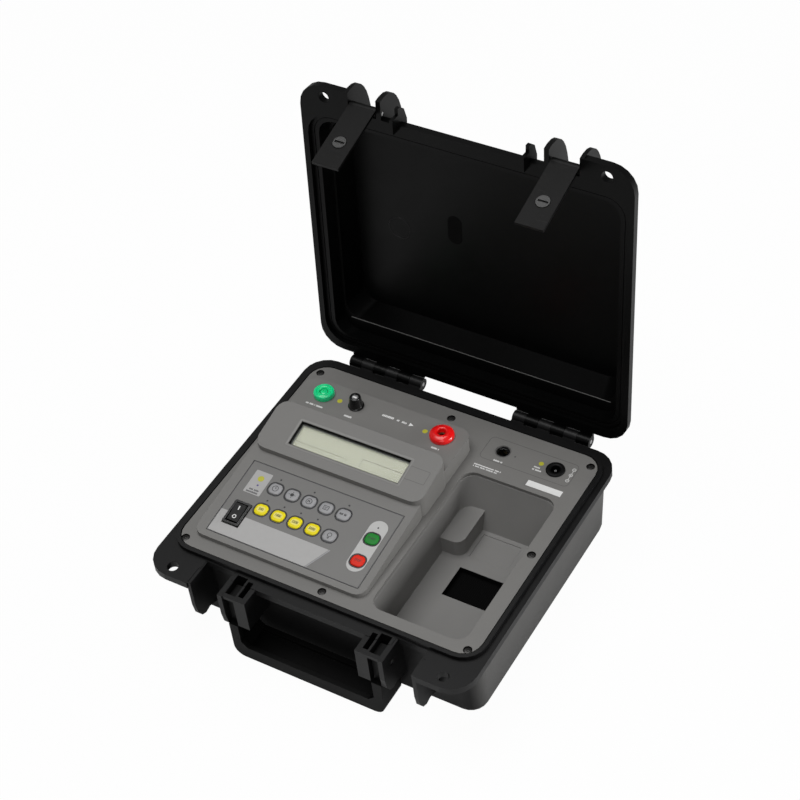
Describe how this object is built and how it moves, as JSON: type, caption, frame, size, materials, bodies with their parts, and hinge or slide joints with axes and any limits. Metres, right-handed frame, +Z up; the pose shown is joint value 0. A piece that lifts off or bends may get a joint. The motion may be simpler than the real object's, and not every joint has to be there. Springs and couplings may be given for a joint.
{
  "type": "insulation resistance tester",
  "caption": "Portable insulation resistance tester in a rugged hinged case with a raised keypad and display block, safety sockets, a lead storage well, side latches and a folding handle.",
  "frame": {"origin": "centre of the flat underside of the case", "axes": "+X to the operator's right, +Y from the handle to the hinges, +Z up"},
  "size_m": [0.274, 0.3141, 0.3228],
  "materials": {
    "case_black": "moulded black, slightly glossy",
    "panel_grey": "fine textured warm grey",
    "overlay_grey": "smooth satin film",
    "rubber_black": "matte",
    "key_grey": "satin",
    "key_yellow": "satin",
    "key_green": "satin",
    "key_red": "satin",
    "socket_green": "glossy",
    "socket_red": "glossy",
    "gloss_black": "glossy",
    "metal": "plated steel",
    "brass": "bright",
    "display_green": "grey-green liquid crystal face",
    "clear": "clear window",
    "board_green": "lacquered board",
    "label_white": "printed film",
    "cell_blue": "shrink sleeve",
    "potting": "potted block"
  },
  "bodies": {
    "base": {"base_shell": "case_black", "front_panel": "panel_grey", "storage_tray": "panel_grey", "keypad_overlay": "overlay_grey", "pocket_liner": "rubber_black", "wiring_harness": "rubber_black", "earth_socket": "socket_green", "output_socket": "socket_red", "guard_socket": "gloss_black", "rocker_frame": "gloss_black", "dc_jack": "gloss_black", "comms_port": "gloss_black", "panel_screw_1": "metal", "panel_screw_2": "metal", "panel_screw_3": "metal", "panel_screw_4": "metal", "panel_screw_5": "metal", "panel_screw_6": "metal", "panel_screw_7": "metal", "panel_screw_8": "metal", "dc_pin": "metal", "hinge_pin_left": "metal", "hinge_pin_right": "metal", "handle_pin_left": "metal", "handle_pin_right": "metal", "earth_contact": "brass", "guard_contact": "brass", "output_contact": "brass", "comms_contacts": "brass", "display_module": "display_green", "display_window": "clear", "keypad_board": "board_green", "main_board": "board_green", "blank_label": "label_white", "battery_pack": "cell_blue", "capacitor_bank": "cell_blue", "hv_transformer": "potting"},
    "lid": {"lid_shell": "case_black", "lid_gasket": "rubber_black", "latch_pin_left": "metal", "latch_pin_right": "metal"},
    "latch_left": {"latch_left": "case_black"},
    "latch_right": {"latch_right": "case_black"},
    "coin_lock_left": {"coin_lock_left": "case_black"},
    "coin_lock_right": {"coin_lock_right": "case_black"},
    "handle": {"handle": "case_black"},
    "rocker": {"rocker": "case_black"},
    "key_back_1": {"key_back_1": "key_grey"},
    "key_back_2": {"key_back_2": "key_grey"},
    "key_back_3": {"key_back_3": "key_grey"},
    "key_back_4": {"key_back_4": "key_grey"},
    "key_back_5": {"key_back_5": "key_grey"},
    "key_front_1": {"key_front_1": "key_yellow"},
    "key_front_2": {"key_front_2": "key_yellow"},
    "key_front_3": {"key_front_3": "key_yellow"},
    "key_front_4": {"key_front_4": "key_yellow"},
    "key_front_5": {"key_front_5": "key_grey"},
    "key_start": {"key_start": "key_green"},
    "key_stop": {"key_stop": "key_red"}
  },
  "joints": [
    {"name": "lid_hinge", "type": "hinge", "parent": "base", "child": "lid", "pos_m": [0, 0.1243, 0.0669], "axis": [1, 0, 0], "range_deg": [0, 95]},
    {"name": "latch_left_hinge", "type": "hinge", "parent": "lid", "child": "latch_left", "pos_m": [-0.0826, 0.15033, 0.31046], "axis": [1, 0, 0], "range_deg": [-110, 0]},
    {"name": "latch_right_hinge", "type": "hinge", "parent": "lid", "child": "latch_right", "pos_m": [0.0826, 0.15033, 0.31046], "axis": [1, 0, 0], "range_deg": [-110, 0]},
    {"name": "coin_lock_left_turn", "type": "hinge", "parent": "latch_left", "child": "coin_lock_left", "pos_m": [-0.0826, 0.11487, 0.30394], "axis": [0, -0.2351, 0.972], "range_deg": [0, 90]},
    {"name": "coin_lock_right_turn", "type": "hinge", "parent": "latch_right", "child": "coin_lock_right", "pos_m": [0.0826, 0.11487, 0.30394], "axis": [0, -0.2351, 0.972], "range_deg": [0, 90]},
    {"name": "handle_hinge", "type": "hinge", "parent": "base", "child": "handle", "pos_m": [0, -0.119, 0.055], "axis": [1, 0, 0], "range_deg": [-95, 0]},
    {"name": "rocker_tilt", "type": "hinge", "parent": "base", "child": "rocker", "pos_m": [-0.0942, -0.06483, 0.07817], "axis": [1, 0, 0], "range_deg": [-13, 0]},
    {"name": "key_back_1_press", "type": "slide", "parent": "base", "child": "key_back_1", "axis": [0, 0.1168, -0.9932], "range_m": [0, 0.0008], "stiffness_N_per_m": 600},
    {"name": "key_back_2_press", "type": "slide", "parent": "base", "child": "key_back_2", "axis": [0, 0.1168, -0.9932], "range_m": [0, 0.0008], "stiffness_N_per_m": 600},
    {"name": "key_back_3_press", "type": "slide", "parent": "base", "child": "key_back_3", "axis": [0, 0.1168, -0.9932], "range_m": [0, 0.0008], "stiffness_N_per_m": 600},
    {"name": "key_back_4_press", "type": "slide", "parent": "base", "child": "key_back_4", "axis": [0, 0.1168, -0.9932], "range_m": [0, 0.0008], "stiffness_N_per_m": 600},
    {"name": "key_back_5_press", "type": "slide", "parent": "base", "child": "key_back_5", "axis": [0, 0.1168, -0.9932], "range_m": [0, 0.0008], "stiffness_N_per_m": 600},
    {"name": "key_front_1_press", "type": "slide", "parent": "base", "child": "key_front_1", "axis": [0, 0.1168, -0.9932], "range_m": [0, 0.0008], "stiffness_N_per_m": 600},
    {"name": "key_front_2_press", "type": "slide", "parent": "base", "child": "key_front_2", "axis": [0, 0.1168, -0.9932], "range_m": [0, 0.0008], "stiffness_N_per_m": 600},
    {"name": "key_front_3_press", "type": "slide", "parent": "base", "child": "key_front_3", "axis": [0, 0.1168, -0.9932], "range_m": [0, 0.0008], "stiffness_N_per_m": 600},
    {"name": "key_front_4_press", "type": "slide", "parent": "base", "child": "key_front_4", "axis": [0, 0.1168, -0.9932], "range_m": [0, 0.0008], "stiffness_N_per_m": 600},
    {"name": "key_front_5_press", "type": "slide", "parent": "base", "child": "key_front_5", "axis": [0, 0.1168, -0.9932], "range_m": [0, 0.0008], "stiffness_N_per_m": 600},
    {"name": "key_start_press", "type": "slide", "parent": "base", "child": "key_start", "axis": [0, 0.1168, -0.9932], "range_m": [0, 0.0008], "stiffness_N_per_m": 600},
    {"name": "key_stop_press", "type": "slide", "parent": "base", "child": "key_stop", "axis": [0, 0.1168, -0.9932], "range_m": [0, 0.0008], "stiffness_N_per_m": 600}
  ]
}
